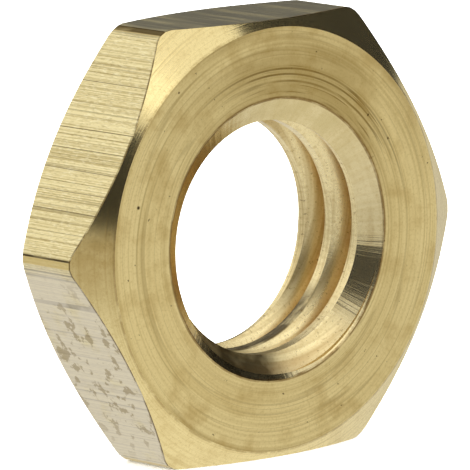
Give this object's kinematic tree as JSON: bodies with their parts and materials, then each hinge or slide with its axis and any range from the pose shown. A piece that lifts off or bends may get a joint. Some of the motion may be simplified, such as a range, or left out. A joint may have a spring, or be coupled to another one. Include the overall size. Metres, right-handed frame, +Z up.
{
  "type": "hex nut",
  "caption": "Thin brass hexagon nut with a coarse internal thread, chamfered corners and a countersunk hole; stands on one flat.",
  "frame": {"origin": "on the thread axis at half the nut's thickness, which is the centre of its bounding box", "axes": "+Z up, square to the flat that the nut stands on; Y along the thread axis, with the front face, the one with the smaller turned ring, towards -Y; X across two opposite corners"},
  "size_m": [0.0216, 0.0052, 0.019],
  "materials": {
    "brass": "drawn and turned, satin, not plated"
  },
  "bodies": {
    "root": {"hex_nut": "brass"}
  },
  "joints": []
}
